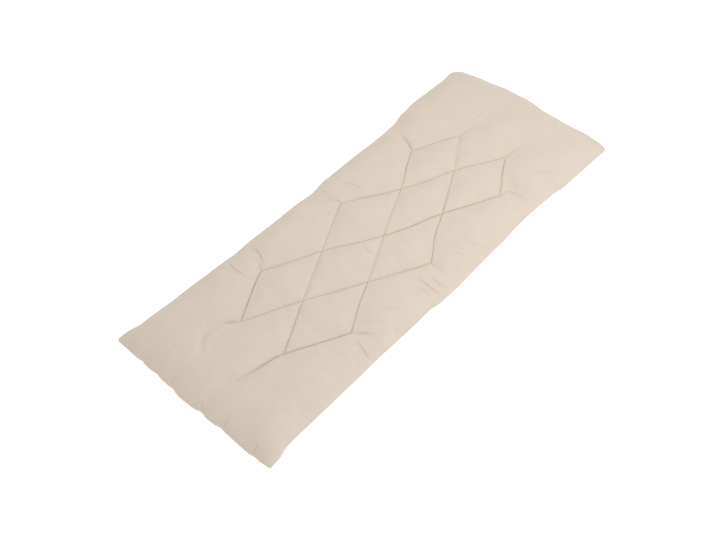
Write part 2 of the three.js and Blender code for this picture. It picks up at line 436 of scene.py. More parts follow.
class CradleCoverSettings(bpy.types.PropertyGroup):
    """Sizes and colour of the filled cover."""

    loft: length("Loft", "Height of the cover between seams and quilting, as sewn", 29.5, 15, 60)
    seam_height: length("Seam height", "Height of the seam above the surface", 8, 2, 20)
    quilt_height: length("Quilting height", "Height of the quilting lines on the top", 18.8, 5, 30)
    cell_height: length("Diamond height", "Height of the cloth inside a diamond", 22, 8, 50)
    quilt_lift: length("Quilting lift", "Height of the quilting lines underneath", 4, 0, 10)
    swell_limit: length("Swelling limit", "Most that the filling may push the cloth out", 5, 0, 20)
    pressure: number("Filling pressure", "How hard the filling pushes on the cloth", 4, 20)
    slack: number(
        "Slack", "Spare cloth between seams, as a share of its length", 0.012, 0.1, subtype="FACTOR"
    )
    cotton: colour("Cotton", "Colour of the unbleached cotton", 0.664, 0.575, 0.483)
    fleck: colour("Fleck", "Colour of the seed flecks in the cotton", 0.36, 0.27, 0.18)


class CradleQuiltingSettings(bpy.types.PropertyGroup):
    """Sizes and colour of the quilting stitches."""

    stitch_length: length("Stitch length", "Length of cloth that each stitch takes", 3.6, 1.5, 8)
    stitch_gap: length("Stitch gap", "Cloth that shows between two stitches", 0.7, 0.2, 3)
    thread_width: length("Thread width", "Thickness of the quilting thread", 0.6, 0.2, 1.5)
    thread: colour("Thread", "Colour of the quilting thread", 0.4, 0.345, 0.2)


class CradleStageSettings(bpy.types.PropertyGroup):
    """Light and floor of the studio."""

    floor: colour("Floor", "Colour of the plain floor", 0.4, 0.4, 0.4)
    glow: number("Floor glow", "Light of the floor itself, which keeps shadows faint", 0.85, 2)
    sky_strength: number("Fill light", "Strength of the even light from all round", 0.735, 5)
    overhead_power: number(
        "Overhead softbox", "Power of the soft lamp above the far end", 6.5, 500, unit="POWER"
    )
    side_power: number(
        "Side softbox", "Power of the soft lamp beside the right seam", 1.5, 500, unit="POWER"
    )


def deselect_all():
    """Leaves nothing selected, so that an operator acts only on what is picked next."""
    if bpy.context.object and bpy.context.object.mode != "OBJECT":
        bpy.ops.object.mode_set(mode="OBJECT")
    bpy.ops.object.select_all(action="DESELECT")


def pick(active, *others):
    """Selects these objects, with the first one active."""
    deselect_all()
    for piece in (active, *others):
        piece.select_set(True)
    bpy.context.view_layer.objects.active = active


def whole_mesh(piece, *steps):
    """Runs edit mode operators on everything in a piece's mesh."""
    pick(piece)
    bpy.ops.object.mode_set(mode="EDIT")
    bpy.ops.mesh.select_all(action="SELECT")
    for step, options in steps:
        step(**options)
    bpy.ops.object.mode_set(mode="OBJECT")


def apply_modifiers(piece):
    """Applies a piece's modifiers, the first one first."""
    pick(piece)
    for modifier in list(piece.modifiers):
        bpy.ops.object.modifier_apply(modifier=modifier.name)


def vertex_places(mesh):
    """A mesh's vertex places, one row each."""
    places = np.empty(len(mesh.vertices) * 3, np.float32)
    mesh.vertices.foreach_get("co", places)
    return places.reshape(-1, 3).astype(float)


def set_vertex_places(mesh, places):
    """Moves a mesh's vertices to these places, one row each."""
    mesh.vertices.foreach_set("co", np.asarray(places, np.float32).ravel())
    mesh.update()


def keep(mesh, name, values):
    """Keeps a number or a vector for each vertex of a mesh."""
    values = np.asarray(values, np.float32)
    kind, field = ("FLOAT", "value") if values.ndim == 1 else ("FLOAT_VECTOR", "vector")
    attribute = mesh.attributes.get(name) or mesh.attributes.new(name, kind, "POINT")
    attribute.data.foreach_set(field, values.ravel())


def kept(mesh, name):
    """What keep() kept under this name."""
    attribute = mesh.attributes[name]
    wide = 3 if attribute.data_type == "FLOAT_VECTOR" else 1
    values = np.empty(len(mesh.vertices) * wide, np.float32)
    attribute.data.foreach_get("vector" if wide == 3 else "value", values)
    return values.reshape(-1, 3).astype(float) if wide == 3 else values.astype(float)


def puff(distance, reach, fullness):
    """Rise of a filled cover from 0 at a held line to 1 at the given reach from it."""
    left = 1 - np.clip(distance / reach, 0, 1)
    return (1 - left**2) ** fullness


def bell(distance, width):
    """Bell curve from 1 on a line to about a third at the given width beside it."""
    return np.exp(-((distance / width) ** 2))


def read_table(rows, column, place):
    """Values of a table's column at places between its rows."""
    at, values = (np.array([row[i] for row in rows], float) for i in (0, column))
    after = np.clip(np.searchsorted(at, place), 1, len(at) - 1)
    share = np.clip((place - at[after - 1]) / (at[after] - at[after - 1]), 0, 1)
    share = share * share * (3 - 2 * share)
    return values[after - 1] + share * (values[after] - values[after - 1])


def lattice_point(across, along):
    """Place on the cut cover of a point of the even lattice."""
    return np.array(LATTICE_MIDDLE) + np.array((across, along)) * LATTICE_STEP


def nearest_on_line(cut, start, end):
    """How far points of the cut cover lie from a line, and how far along it as a share."""
    run = end - start
    share = np.clip((cut - start) @ run / (run @ run), 0, 1)
    gap = cut - start - share[:, None] * run
    return np.hypot(gap[:, 0], gap[:, 1]), share


def rounded_path(points, rounds=2):
    """A path with its bends cut round, and its two ends kept."""
    points = np.array(points, float)
    for _ in range(rounds):
        near = points[:-1] * 0.75 + points[1:] * 0.25
        far = points[:-1] * 0.25 + points[1:] * 0.75
        inner = np.stack([near, far], axis=1).reshape(-1, 2)[1:-1]
        points = np.vstack([points[:1], inner, points[-1:]])
    return points


def nearest_on_path(cut, points):
    """How far points of the cut cover lie from a path, and how far along it as a share."""
    runs = np.linalg.norm(np.diff(points, axis=0), axis=1)
    ends = np.concatenate([[0], np.cumsum(runs)]) / runs.sum()
    nearest, share = np.full(len(cut), np.inf), np.zeros(len(cut))
    for i in range(len(runs)):
        distance, part = nearest_on_line(cut, points[i], points[i + 1])
        share = np.where(distance < nearest, ends[i] + part * (ends[i + 1] - ends[i]), share)
        nearest = np.minimum(distance, nearest)
    return nearest, np.clip(share, 0, 1)


def crease_path(corner, points):
    """Path of a tension crease, from its corner of the quilting on."""
    return rounded_path([lattice_point(*corner), *points])


def quilting_steps():
    """Each lattice step of the quilting: its ends, tightness, slack and ease."""
    for start, end, tightness, slack, ease, _ in QUILTING:
        points = np.linspace(lattice_point(*start), lattice_point(*end), len(tightness) + 1)
        for first, last, tight in zip(points, points[1:], tightness):
            yield first, last, tight, slack, ease


def on_line(cut, start, end):
    """Whether points of the cut cover lie on a row of stitches between two lattice points."""
    return nearest_on_line(cut, lattice_point(*start), lattice_point(*end))[0] < ON_LINE


def on_quilting(cut):
    """Whether points of the cut cover lie on any row of stitches."""
    return np.any([on_line(cut, start, end) for start, end, *_ in QUILTING], axis=0)


def needle_marks_and_groove_shade(cut):
    """How dark points of the cut cover are painted: needle marks and painted groove shade."""
    return np.max([on_line(cut, start, end) * mark_and_shade for start, end, *_, mark_and_shade in QUILTING], axis=0)


def held_together(pulls):
    """The least of several distances, with the ridges between them rounded."""
    total = sum(np.maximum(pull, NEVER_ZERO) ** -PULL_SHARING for pull in pulls)
    return total ** (-1 / PULL_SHARING)


def distance_to_held(cut, creases=()):
    """How far the cloth may rise beside a held line, and how far the filling under it may."""
    cloth, filling = [], []
    for start, end, tightness, slack, ease in quilting_steps():
        distance, share = nearest_on_line(cut, start, end)
        middle = 4 * share * (1 - share)
        cloth.append(np.hypot(distance * tightness, ease * middle))
        filling.append(np.hypot(distance, slack * middle))
    for corner, points, tightness, loosening in creases:
        distance, share = nearest_on_path(cut, crease_path(corner, points))
        pull = np.hypot(distance * tightness, loosening * share**CREASE_LOOSENING)
        cloth.append(pull)
        filling.append(pull)
    return held_together(cloth), held_together(filling)


def pinch(distance, width):
    """Trough of 1 on a line, with a low lip on either side of it."""
    return (1 - (distance / width) ** 2) * bell(distance, width)


def loose_crease_depth(cut):
    """Depth of the loose creases, each deepest halfway along."""
    depth = np.zeros(len(cut))
    for points, width, deepest in LOOSE_CREASES:
        distance, share = nearest_on_path(cut, rounded_path(points))
        depth += deepest * (4 * share * (1 - share)) ** CREASE_FADE * pinch(distance, width)
    return depth


def ripple(run, distance, ripples, number):
    """Uneven ripples along a held line, which rise beside it and die out further in."""
    height, pitch, reach = ripples
    shift = sum(share * np.sin(run / size + turn * number) for share, size, turn in RIPPLE_SHIFTS)
    share, size, turn = RIPPLE_FADES
    uneven = 1 - share + share * np.sin(run / size + turn * number)
    across = (1 - bell(distance, reach / 4)) * bell(distance, reach)
    return height * uneven * np.sin(2 * math.pi * run / pitch + RIPPLE_SHIFT * shift) * across


def ripples_at(cut):
    """Height of the small ripples that the stitches and the seam gather in the cloth."""
    height = np.zeros(len(cut))
    for number, (start, end, *_) in enumerate(quilting_steps()):
        distance, share = nearest_on_line(cut, start, end)
        run = share * np.linalg.norm(end - start)
        height += ripple(run, distance, STITCH_RIPPLES, number)
    side, end = seam_distances(cut)
    across, along = cut.T
    height += ripple(along, side, SEAM_RIPPLES, LONG_SEAM_NUMBER + np.sign(across))
    return height + ripple(across, end, SEAM_RIPPLES, SHORT_SEAM_NUMBER + np.sign(along))


def beside_seam(cut):
    """Whether points of the cut cover lie beside a seam."""
    return np.minimum(*seam_distances(cut)) < BESIDE_SEAM


def needs_fine_mesh(cut):
    """Whether points of the cut cover lie beside a seam, a row of stitches or a crease."""
    near = beside_seam(cut)
    for start, end, *_ in quilting_steps():
        near |= nearest_on_line(cut, start, end)[0] < BESIDE_STITCHES
    for corner, points, *_ in CORNER_CREASES:
        near |= nearest_on_path(cut, crease_path(corner, points))[0] < BESIDE_CREASE
    for points, width, _ in LOOSE_CREASES:
        near |= nearest_on_path(cut, rounded_path(points))[0] < LOOSE_CREASE_WIDTHS * width
    return near


def filling_lumps(cut):
    """Soft unevenness of the loose filling."""
    height = np.zeros(len(cut))
    for rise, size in FILLING_LUMPS:
        height += [rise * noise.noise(Vector((x / size, y / size, size))) for x, y in cut]
    return height


def pucker_depth(cut):
    """Depth of the troughs that run in from the gathered closing seam."""
    across, from_end = cut[:, 0], cut[:, 1] + PAD_LENGTH / 2
    return np.max([
        PUCKER_DEPTH * bell(across - place, width) * bell(from_end, run)
        for place, _, width, run in PUCKERS
    ], axis=0)


def pucker_notch(across):
    """How far the closing seam is notched by its puckers."""
    return np.max([notch * bell(across - place, width) for place, notch, width, _ in PUCKERS], axis=0)


def seam_distances(cut):
    """Distances in from the nearest long and short seam."""
    return PAD_WIDTH / 2 - np.abs(cut[:, 0]), PAD_LENGTH / 2 - np.abs(cut[:, 1])


def under_height(cut, sizes):
    """Height of the under panel, which lies flat but for its seam and its quilting."""
    seam = sizes.seam_height / MM * (
        1 - puff(np.minimum(*seam_distances(cut)), UNDER_ROUND, UNDER_FULLNESS)
    )
    held = 1 - puff(distance_to_held(cut)[0], UNDER_QUILT_ROUND, UNDER_FULLNESS)
    return seam + sizes.quilt_lift / MM * held


def top_height(cut, sizes):
    """Height of the top panel, from the seam up over the filling and down to the quilting."""
    side, end = seam_distances(cut)
    cloth, filling = distance_to_held(cut, CORNER_CREASES)
    beside = puff(cloth, CELL_ROUND, TOP_FULLNESS)
    low, cell, loft, seam = (
        size / MM for size in (sizes.quilt_height, sizes.cell_height, sizes.loft, sizes.seam_height)
    )
    uneven = filling_lumps(cut) - pucker_depth(cut)
    outer = (loft - cell) * puff(filling, QUILT_ROUND, OUTER_FULLNESS)
    full = low + (cell - low + uneven) * beside + outer + ripples_at(cut)
    rounding = puff(side, SIDE_ROUND, TOP_FULLNESS) * puff(end, END_ROUND, TOP_FULLNESS)
    from_held = np.minimum(np.minimum(side, end), distance_to_held(cut)[0])
    creases = loose_crease_depth(cut) * puff(from_held, CREASE_START, 1)
    return seam + (full - seam) * rounding - creases


def shifted(cut, rows, spread):
    """Shift of the cover by a table of places on the quilting, strongest at each place."""
    points = np.array([lattice_point(across, along) for across, along, *_ in rows])
    shifts = np.array([row[2:] for row in rows], float)
    shares = bell(np.linalg.norm(cut[:, None] - points, axis=2), spread)
    return shares @ shifts / np.maximum(1, shares.sum(axis=1))[:, None]


def stray_at(cut):
    """Shift of the cover where its quilting strays from the even lattice."""
    return shifted(cut, STRAY, STRAY_SPREAD) + shifted(cut, BOWED, BOWED_SPREAD)


def laid_place(cut):
    """Where points of the cut cover lie once its seams are drawn in and its quilting strays."""
    across, along = cut.T
    near = read_table(SHORT_SEAMS, 1, across) + pucker_notch(across)
    short = np.where(along > 0, read_table(SHORT_SEAMS, 2, across), near)
    long = np.where(across < 0, *(read_table(LONG_SEAMS, side, along) for side in (1, 2)))
    drawn = np.column_stack([
        np.sign(across) * long * np.abs(across / (PAD_WIDTH / 2)) ** LONG_SEAM_GRIP,
        np.sign(along) * short * np.abs(along / (PAD_LENGTH / 2)) ** SHORT_SEAM_GRIP,
    ])
    return blunted(cut) - drawn + stray_at(cut)


def blunted(cut):
    """Points of the cut cover with its corners rounded."""
    for side, end, radius in BLUNT_CORNERS:
        centre = np.array([PAD_WIDTH / 2 - radius, PAD_LENGTH / 2 - radius]) * (side, end)
        out = (cut - centre) * (side, end)
        near = np.min(out, axis=1) > 0
        longest, size = np.max(out, axis=1), np.linalg.norm(out, axis=1)
        shrink = np.where(near, longest / np.maximum(size, NEVER_ZERO), 1)
        cut = centre + (cut - centre) * shrink[:, None]
    return cut


def shift_to_frame():
    """Shift, in millimetres, that centres the drawn-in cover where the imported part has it."""
    step = np.linspace(-0.5, 0.5, RIM_POINTS)
    rim = np.vstack([
        np.column_stack([np.full_like(step, side * PAD_WIDTH / 2), step * PAD_LENGTH])
        for side in (-1, 1)
    ] + [
        np.column_stack([step * PAD_WIDTH, np.full_like(step, side * PAD_LENGTH / 2)])
        for side in (-1, 1)
    ])
    laid = laid_place(rim)
    low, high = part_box(PAD_NODE)
    middle = np.array((low + high) / 2)[:2] / MM
    return middle - (laid.min(axis=0) + laid.max(axis=0)) / 2


def on_cover(cut, heights):
    """Places in the frame, in metres, of cut cover points at these heights."""
    return np.column_stack([laid_place(cut) + shift_to_frame(), heights]) * MM


def grid_columns(row_shift):
    """Places across the pad of one row's vertices, from seam to seam."""
    step = 2 * LATTICE_STEP[0] / ROWS_PER_STEP
    reach = PAD_WIDTH / 2 - NEAREST_TO_SEAM * step
    numbers = np.arange(-PAD_WIDTH // step, PAD_WIDTH // step) - row_shift
    places = LATTICE_MIDDLE[0] + numbers * step
    inner = places[np.abs(places) < reach]
    return np.concatenate([[-PAD_WIDTH / 2], inner, [PAD_WIDTH / 2]])


def grid_rows():
    """Places along the pad of the rows, and each row's number from the middle lattice point."""
    step = LATTICE_STEP[1] / ROWS_PER_STEP
    reach = PAD_LENGTH / 2 - NEAREST_TO_SEAM * step
    numbers = np.arange(-PAD_LENGTH // step, PAD_LENGTH // step)
    places = LATTICE_MIDDLE[1] + numbers * step
    inner = np.abs(places) < reach
    numbers = numbers[inner]
    places = np.concatenate([[-PAD_LENGTH / 2], places[inner], [PAD_LENGTH / 2]])
    return places, np.concatenate([[numbers[0] - 1], numbers, [numbers[-1] + 1]])


def cut_panel(name):
    """A flat panel of cloth whose mesh has rows and diagonals along the quilting lines."""
    rows = []
    for place, number in zip(*grid_rows()):
        columns = grid_columns(number % 2 / 2)
        rows.append([(column, place, 0) for column in columns])
    across, along = len(rows[0]) - 1, len(rows) - 1
    deselect_all()
    bpy.ops.mesh.primitive_grid_add(
        x_subdivisions=across, y_subdivisions=along, size=2, calc_uvs=False
    )
    panel = bpy.context.object
    panel.name = panel.data.name = name
    spots = (vertex_places(panel.data)[:, :2] + 1) / 2 * (across, along)
    column, row = spots.round().astype(int).T
    cut = np.array(rows)[row, column]
    # Each corner's quad is divided as if its inner vertex lay on the corner. Divided the other
    # way, it would have a triangle wholly on the seam, and the two panels' would fall together.
    beside_corner = (np.minimum(column, across - column) == 1) & (np.minimum(row, along - row) == 1)
    corners = np.sign(cut) * (PAD_WIDTH / 2, PAD_LENGTH / 2, 0)
    set_vertex_places(panel.data, np.where(beside_corner[:, None], corners, cut))
    whole_mesh(panel, (bpy.ops.mesh.quads_convert_to_tris, {"quad_method": "SHORTEST_DIAGONAL"}))
    set_vertex_places(panel.data, cut)
    keep(panel.data, CUT_PLACE, cut * MM)
    return panel


def cut_places(mesh):
    """Where each vertex lay on the cut panel, in millimetres."""
    return kept(mesh, CUT_PLACE)[:, :2] / MM


def on_rim(mesh):
    """Whether each vertex lies on the seam round the cover."""
    return np.minimum(*seam_distances(cut_places(mesh))) < ON_LINE


def let_swell(panel, sizes):
    """Simulates the filling pushing the slack cloth out between the seams and the quilting."""
    mesh = panel.data
    cut = cut_places(mesh)
    held = on_quilting(cut) | on_rim(mesh)
    sewn = panel.vertex_groups.new(name="sewn")
    sewn.add(np.flatnonzero(held).tolist(), 1, "REPLACE")
    start = vertex_places(mesh)

    cloth = panel.modifiers.new("Filling", "CLOTH")
    settings = cloth.settings
    settings.quality = SIMULATED_STEPS
    settings.mass = CLOTH_MASS
    settings.vertex_group_mass = sewn.name
    settings.use_pressure = True
    settings.uniform_pressure_force = sizes.pressure
    settings.shrink_min = -sizes.slack
    settings.effector_weights.gravity = 0
    cloth.collision_settings.use_collision = False
    cloth.point_cache.frame_end = SIMULATED_FRAMES
    for number in range(1, SIMULATED_FRAMES + 1):
        bpy.context.scene.frame_set(number)
    apply_modifiers(panel)
    bpy.context.scene.frame_set(1)
    panel.vertex_groups.clear()
    return vertex_places(mesh) - start


def limited(moves, most):
    """Moves cut down to a longest length, without a sudden edge."""
    size = np.linalg.norm(moves, axis=1)[:, None]
    return moves * most * np.tanh(size / most) / np.maximum(size, LEAST_MOVE)


def smoothed(mesh, values, rounds, held):
    """Values at the vertices, each averaged with its neighbours' except where held."""
    edges = np.empty(len(mesh.edges) * 2, np.int32)
    mesh.edges.foreach_get("vertices", edges)
    first, second = edges.reshape(-1, 2).T
    ends, others = np.concatenate([first, second]), np.concatenate([second, first])
    count = np.bincount(ends, minlength=len(values))[:, None]
    for _ in range(rounds):
        around = np.column_stack([
            np.bincount(ends, values[others, axis], len(values)) for axis in range(3)
        ])
        values = np.where(held[:, None], values, (values + around / count) / 2)
    return values


class OBJECT_OT_sew_cradle_cover(bpy.types.Operator):
    """Cuts the cover's two panels, sews and fills them and gives them their cotton"""

    bl_idname = "object.sew_cradle_cover"
    bl_label = "Sew Filled Cover"
    bl_options = {"REGISTER", "UNDO"}

    def execute(self, context):
        sizes = context.scene.cradle_cover
        top, under = cut_panel("quilted_cover"), cut_panel("underside")
        cut = cut_places(top.data)
        set_vertex_places(top.data, on_cover(cut, top_height(cut, sizes)))
        set_vertex_places(under.data, on_cover(cut, under_height(cut, sizes)))
        swelling = np.zeros((len(cut), 3))
        swelling = limited(let_swell(top, sizes), sizes.swell_limit)
        held = np.linalg.norm(swelling, axis=1) < HELD_STILL
        swelling = smoothed(top.data, swelling, SMOOTHING_ROUNDS, held)
        keep(top.data, SWELLING, swelling)
        keep(top.data, TOP_SIDE, np.full(len(cut), TOP))
        keep(under.data, SWELLING, np.zeros((len(cut), 3)))
        keep(under.data, TOP_SIDE, np.full(len(cut), UNDER))
        whole_mesh(under, (bpy.ops.mesh.flip_normals, {}))

        pick(top, under)
        bpy.ops.object.join()
        whole_mesh(top, (bpy.ops.mesh.remove_doubles, {"threshold": MERGED * MM}))
        keep(top.data, TOP_SIDE, np.where(on_rim(top.data), RIM, kept(top.data, TOP_SIDE)))
        self.refine(top, lambda cut, on_top: on_top | beside_seam(cut))
        self.refine(top, lambda cut, on_top: on_top & needs_fine_mesh(cut))
        self.lay_cloth(top, sizes)
        top.data.materials.append(cotton_material(sizes))
        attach(top, BODY)
        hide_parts(PAD_NODE)
        return {"FINISHED"}

    @staticmethod
    def refine(cover, chosen):
        """Halves the mesh round each vertex that is chosen by its cut place and its side."""
        mesh = cover.data
        wanted = chosen(cut_places(mesh), kept(mesh, TOP_SIDE) > RIM) & ~on_rim(mesh)
        corners = np.empty(len(mesh.polygons) * 3, np.int32)
        mesh.polygons.foreach_get("vertices", corners)
        halved = np.any(wanted[corners.reshape(-1, 3)], axis=1)
        pick(cover)
        bpy.ops.object.mode_set(mode="EDIT")
        bpy.ops.mesh.select_mode(type="FACE")
        bpy.ops.mesh.select_all(action="DESELECT")
        bpy.ops.object.mode_set(mode="OBJECT")
        mesh.polygons.foreach_set("select", halved)
        bpy.ops.object.mode_set(mode="EDIT")
        bpy.ops.mesh.subdivide(number_cuts=1)
        bpy.ops.mesh.select_all(action="SELECT")
        bpy.ops.mesh.quads_convert_to_tris(ngon_method="CLIP")
        bpy.ops.mesh.dissolve_degenerate(threshold=MERGED * MM)
        bpy.ops.object.mode_set(mode="OBJECT")

    @staticmethod
    def lay_cloth(cover, sizes):
        """Gives every vertex its height, its swelling and its place among the seams."""
        mesh = cover.data
        cut = cut_places(mesh)
        on_top = kept(mesh, TOP_SIDE) > RIM
        heights = np.where(on_top, top_height(cut, sizes), under_height(cut, sizes))
        places = on_cover(cut, heights) + kept(mesh, SWELLING)
        places[:, 2] = np.maximum(places[:, 2], 0)
        set_vertex_places(mesh, places)
        # Needle marks together with painted shade of the stitch grooves, for the cotton's colour
        keep(mesh, MARK_AND_GROOVE_SHADE, needle_marks_and_groove_shade(cut))
        pick(cover)
        bpy.ops.object.shade_smooth_by_angle(angle=math.radians(SMOOTH_ANGLE))


class OBJECT_OT_stitch_cradle_quilting(bpy.types.Operator):
    """Sews the rows of quilting stitches through the cover, on its top and its underside"""

    bl_idname = "object.stitch_cradle_quilting"
    bl_label = "Stitch Quilting"
    bl_options = {"REGISTER", "UNDO"}

    def execute(self, context):
        cover, sewing = context.scene.cradle_cover, context.scene.cradle_quilting
        rows = []
        for height, side in ((top_height, 1), (under_height, -1)):
            stitch = self.model_stitch(side, sewing)
            for start, end, *_ in QUILTING:
                cut = self.line_on_cut(lattice_point(*start), lattice_point(*end))
                places = on_cover(cut, height(cut, cover))
                rows.append(self.sew_row(stitch, places, sewing.stitch_length))
            bpy.data.meshes.remove(stitch.data)
        pick(*rows)
        bpy.ops.object.join()
        stitches = bpy.context.object
        stitches.name = stitches.data.name = "quilting_stitches"
        bpy.ops.object.shade_smooth()
        stitches.data.materials.append(thread_material(sewing))
        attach(stitches, BODY)
        return {"FINISHED"}

    @staticmethod
    def model_stitch(side, sewing):
        """One stitch that lies along X, with its two ends pulled down into the cloth."""
        half = (sewing.stitch_length - sewing.stitch_gap) / 2
        thick = sewing.thread_width / 2
        deselect_all()
        bpy.ops.mesh.primitive_uv_sphere_add(
            segments=STITCH_SIDES,
            ring_count=STITCH_SIDES,
            radius=1,
            rotation=(0, math.radians(90), 0),
        )
        bpy.ops.object.transform_apply(rotation=True)
        stitch = bpy.context.object
        round_ends = vertex_places(stitch.data)
        along = round_ends[:, 0]
        # The waist keeps the stitch as thick as its middle nearly to its tips
        waist = np.sqrt(1 + along**2)
        lifted = thick * (STITCH_RISE - STITCH_DIP * along**2)
        set_vertex_places(stitch.data, np.column_stack([
            along * half + sewing.stitch_length / 2,
            side * round_ends[:, 1] * waist * thick,
            side * (round_ends[:, 2] * waist * thick * STITCH_FLATNESS + lifted),
        ]))
        return stitch

    @staticmethod
    def line_on_cut(start, end):
        """Points of the cut cover along a quilting line."""
        steps = 2 + int(np.linalg.norm(end - start) // STITCH_LINE_STEP)
        return start + np.linspace(0, 1, steps)[:, None] * (end - start)

    @staticmethod
    def draw_guide(places):
        """A curve through these places, which a row of stitches follows."""
        path = bpy.data.curves.new("stitch_line", "CURVE")
        path.dimensions, path.twist_mode = "3D", "Z_UP"
        spline = path.splines.new("POLY")
        spline.points.add(len(places) - 1)
        for point, place in zip(spline.points, places):
            point.co = (*place, 1)
        guide = bpy.data.objects.new("stitch_line", path)
        bpy.context.collection.objects.link(guide)
        return guide

    def sew_row(self, stitch, places, stitch_length):
        """A row of copies of the stitch, laid along these places."""
        guide = self.draw_guide(places)
        run = np.linalg.norm(np.diff(places, axis=0), axis=1).sum()
        row = stitch.copy()
        row.data = stitch.data.copy()
        bpy.context.collection.objects.link(row)
        copies = row.modifiers.new("Row", "ARRAY")
        copies.count = round(run / stitch_length)
        copies.use_relative_offset, copies.use_constant_offset = False, True
        copies.constant_offset_displace = (run / copies.count, 0, 0)
        row.modifiers.new("Line", "CURVE").object = guide
        apply_modifiers(row)
        bpy.data.curves.remove(guide.data)
        return row


class NodeBench:
    """A material's node tree, with one way to add a node."""

    def __init__(self, name):
        self.material = bpy.data.materials.new(name)
        self.material.use_nodes = True
        self.tree = self.material.node_tree
        self.tree.nodes.clear()

    def node(self, kind, settings=None, sockets=None, output=0):
        """Adds a node: its settings first, then values or links, and hands on one output."""
        made = self.tree.nodes.new(kind)
        for name, value in (settings or {}).items():
            setattr(made, name, value)
        for name, value in (sockets or {}).items():
            if isinstance(value, Signal):
                self.tree.links.new(value.socket, made.inputs[name])
            else:
                made.inputs[name].default_value = value
        return Signal(self, made.outputs[output])

    def noise(self, place, scale, detail=2, roughness=0.5):
        """Soft random variation from 0 to 1."""
        sockets = {"Vector": place, "Scale": scale, "Detail": detail, "Roughness": roughness}
        return self.node("ShaderNodeTexNoise", None, sockets)

    def stretched(self, place, across, along):
        """A place whose pattern is finer by these factors."""
        settings = {"operation": "MULTIPLY"}
        sockets = {0: place, 1: (across, along, 1)}
        return self.node("ShaderNodeVectorMath", settings, sockets)

    def mix(self, share, first, second):
        """A colour between two colours."""
        settings = {"data_type": "RGBA", "clamp_factor": True}
        first, second = (c if isinstance(c, Signal) else (*c, 1) for c in (first, second))
        return self.node("ShaderNodeMix", settings, {0: share, 6: first, 7: second}, output=2)

    def finish(self, bump_height, base, roughness, **constants):
        """Ends the tree in a shader whose bump height is in metres."""
        normal = self.node("ShaderNodeBump", None, {"Height": bump_height, "Distance": 1.0})
        sockets = {"Base Color": base, "Roughness": roughness, "Normal": normal}
        sockets.update({name.replace("_", " "): value for name, value in constants.items()})
        shader = self.node("ShaderNodeBsdfPrincipled", None, sockets)
        end = self.tree.nodes.new("ShaderNodeOutputMaterial")
        self.tree.links.new(shader.socket, end.inputs["Surface"])
        return self.material


class Signal:
    """A value in a node tree. Python arithmetic on it adds Math nodes."""

    def __init__(self, bench, socket):
        self.bench, self.socket = bench, socket

    def other(self, output):
        """Another output of the same node."""
        return Signal(self.bench, self.socket.node.outputs[output])

    def maths(self, operation, *others):
        sockets = dict(enumerate((self, *others)))
        return self.bench.node("ShaderNodeMath", {"operation": operation}, sockets)

    def __add__(self, other):
        return self.maths("ADD", other)

    def __mul__(self, other):
        return self.maths("MULTIPLY", other)

    def __sub__(self, other):
        return self.maths("SUBTRACT", other)

    def __truediv__(self, other):
        return self.maths("DIVIDE", other)

    def __pow__(self, other):
        return self.maths("POWER", other)

    def __rsub__(self, other):
        return self * -1 + other

    def __neg__(self):
        return self * -1

    __radd__, __rmul__ = __add__, __mul__


def shaded(tint, shares):
    """A colour with each of its parts brought to a share of itself."""
    return [part * share for part, share in zip(tint, shares)]


def cotton_material(sizes):
    """Unbleached plain-weave cotton: weave, slubs, seed flecks and a soft unevenness."""
    bench = NodeBench("unbleached_cotton")
    place = bench.node("ShaderNodeAttribute", {"attribute_name": CUT_PLACE}, output="Vector")
    mark_and_groove_shade = bench.node("ShaderNodeAttribute", {"attribute_name": MARK_AND_GROOVE_SHADE}, output="Fac")
    wander = bench.noise(place, WANDER_SCALE, 1) * (THREAD_WANDER * MM)
    split = bench.node("ShaderNodeSeparateXYZ", None, {0: place})
    across, along = split + wander, split.other("Y") + wander
    turn = math.pi / (THREAD_PITCH * MM)
    weave = ((across * turn).maths("SINE") * (along * turn).maths("SINE")).maths("ABSOLUTE")
    fine, drawn_out = SLUB_SCALES
    warp_slubs = bench.noise(bench.stretched(place, fine, drawn_out), 1, 2)
    weft_slubs = bench.noise(bench.stretched(place, drawn_out, fine), 1, 2)
    slubs = (warp_slubs + weft_slubs) * 0.5
    mottle = bench.noise(place, MOTTLE_SCALE, 3, 0.55)
    crinkle = bench.noise(place, CRINKLE_SCALE, 3, 0.6)

    # Mottling and slubs vary the cotton's own tone; the weave adds painted light on the threads'
    # crowns and painted shade between them
    tone = (
        (mottle - 0.5) * MOTTLE_TONE
        + (slubs - 0.5) * SLUB_TONE
        + (weave - WEAVE_MEAN) * WEAVE_LIGHT_AND_SHADE
        + 0.5
    )
    base = bench.mix(tone, shaded(sizes.cotton, DARK_COTTON), shaded(sizes.cotton, LIGHT_COTTON))
    specks = bench.noise(place, FLECK_SCALE, 0)
    fleck = ((specks - FLECK_RARITY) * FLECK_EDGE).maths("MAXIMUM", 0).maths("MINIMUM", 1)
    base = bench.mix(fleck * FLECK_DEPTH, base, sizes.fleck)
    # Needle marks and painted shade of the stitch grooves darken the cotton along the rows
    base = bench.mix(mark_and_groove_shade, base, shaded(sizes.cotton, MARKED_AND_SHADED_COTTON))

    relief = (
        weave * (WEAVE_RELIEF * MM) + slubs * (SLUB_RELIEF * MM) + crinkle * (CRINKLE_RELIEF * MM)
    )
    roughness = 0.86 + weave * 0.08
    return bench.finish(relief, base, roughness, Sheen_Weight=0.15, Sheen_Roughness=0.5)


